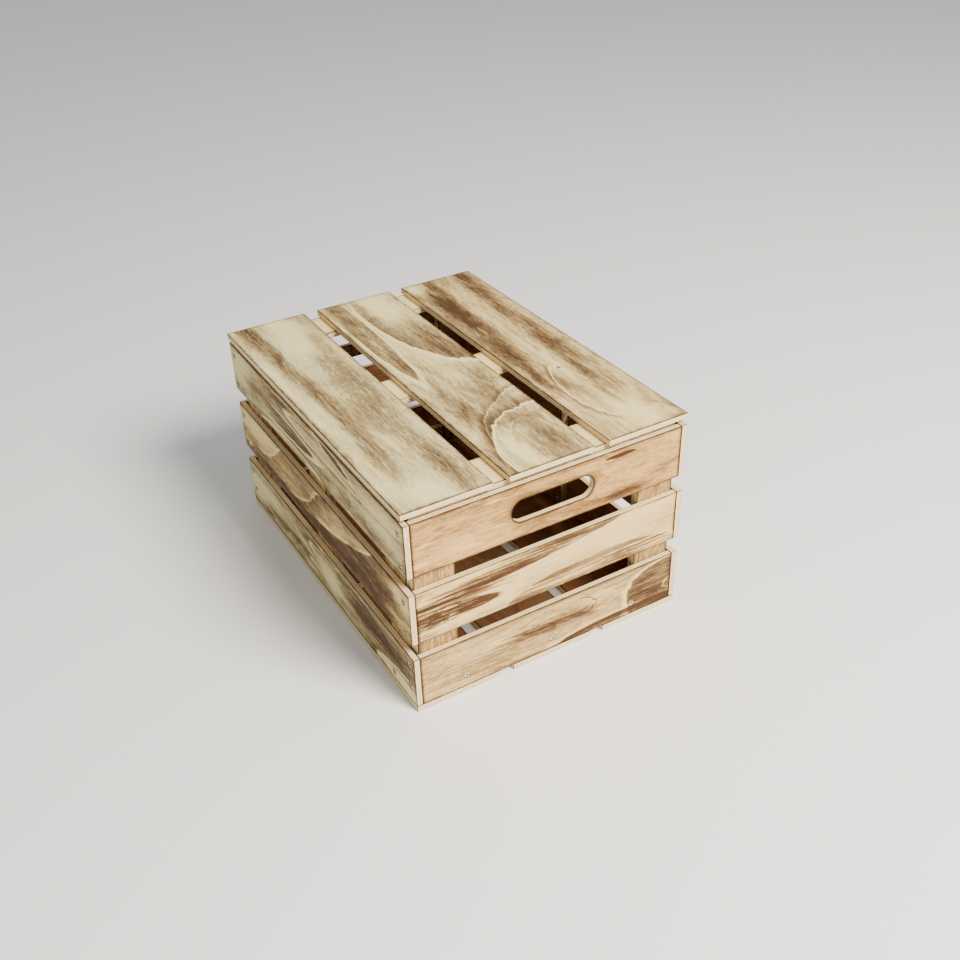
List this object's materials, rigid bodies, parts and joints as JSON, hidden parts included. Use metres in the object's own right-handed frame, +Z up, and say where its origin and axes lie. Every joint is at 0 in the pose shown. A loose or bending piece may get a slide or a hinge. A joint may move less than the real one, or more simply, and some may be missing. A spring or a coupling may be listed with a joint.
{
  "type": "wooden apple crate",
  "caption": "Slatted plywood apple crate with hand holes in both ends and a slatted lid that lifts off.",
  "frame": {"origin": "middle of the underside, on the surface the crate stands on", "axes": "+Y along the crate's length, +X across it, +Z up"},
  "size_m": [0.363, 0.492, 0.267],
  "materials": {
    "lid_plywood": "sanded pale plywood, scorched in streaks",
    "wall_plywood": "sanded pale plywood, scorched in streaks",
    "bottom_plywood": "sanded pale plywood",
    "cleat_wood": "planed softwood",
    "screw_steel": "zinc plated"
  },
  "bodies": {
    "box": {"bottom_batten_middle": "cleat_wood", "bottom_board_centre": "bottom_plywood", "bottom_board_left": "bottom_plywood", "bottom_board_right": "bottom_plywood", "bottom_rail_back": "cleat_wood", "bottom_rail_front": "cleat_wood", "bottom_screws": "screw_steel", "corner_screws_left": "screw_steel", "corner_screws_right": "screw_steel", "end_cleat_back_left": "cleat_wood", "end_cleat_back_right": "cleat_wood", "end_cleat_front_left": "cleat_wood", "end_cleat_front_right": "cleat_wood", "end_cleat_screws_back": "screw_steel", "end_cleat_screws_front": "screw_steel", "end_screws_back": "screw_steel", "end_screws_front": "screw_steel", "end_slat_back_bottom": "wall_plywood", "end_slat_back_middle": "wall_plywood", "end_slat_back_top": "wall_plywood", "end_slat_front_bottom": "wall_plywood", "end_slat_front_middle": "wall_plywood", "end_slat_front_top": "wall_plywood", "foot_screws_left": "screw_steel", "foot_screws_right": "screw_steel", "side_cleat_left_back": "cleat_wood", "side_cleat_left_front": "cleat_wood", "side_cleat_left_middle": "cleat_wood", "side_cleat_right_back": "cleat_wood", "side_cleat_right_front": "cleat_wood", "side_cleat_right_middle": "cleat_wood", "side_cleat_screws_left": "screw_steel", "side_cleat_screws_right": "screw_steel", "side_slat_left_bottom": "wall_plywood", "side_slat_left_middle": "wall_plywood", "side_slat_left_top": "wall_plywood", "side_slat_right_bottom": "wall_plywood", "side_slat_right_middle": "wall_plywood", "side_slat_right_top": "wall_plywood"},
    "lid": {"lid_batten_back": "cleat_wood", "lid_batten_front": "cleat_wood", "lid_batten_middle": "cleat_wood", "lid_screws": "screw_steel", "lid_slat_centre": "lid_plywood", "lid_slat_left": "lid_plywood", "lid_slat_right": "lid_plywood"}
  },
  "joints": [
    {"name": "lid_lift", "type": "slide", "parent": "box", "child": "lid", "axis": [0, 0, 1], "range_m": [0, 0.3]}
  ]
}
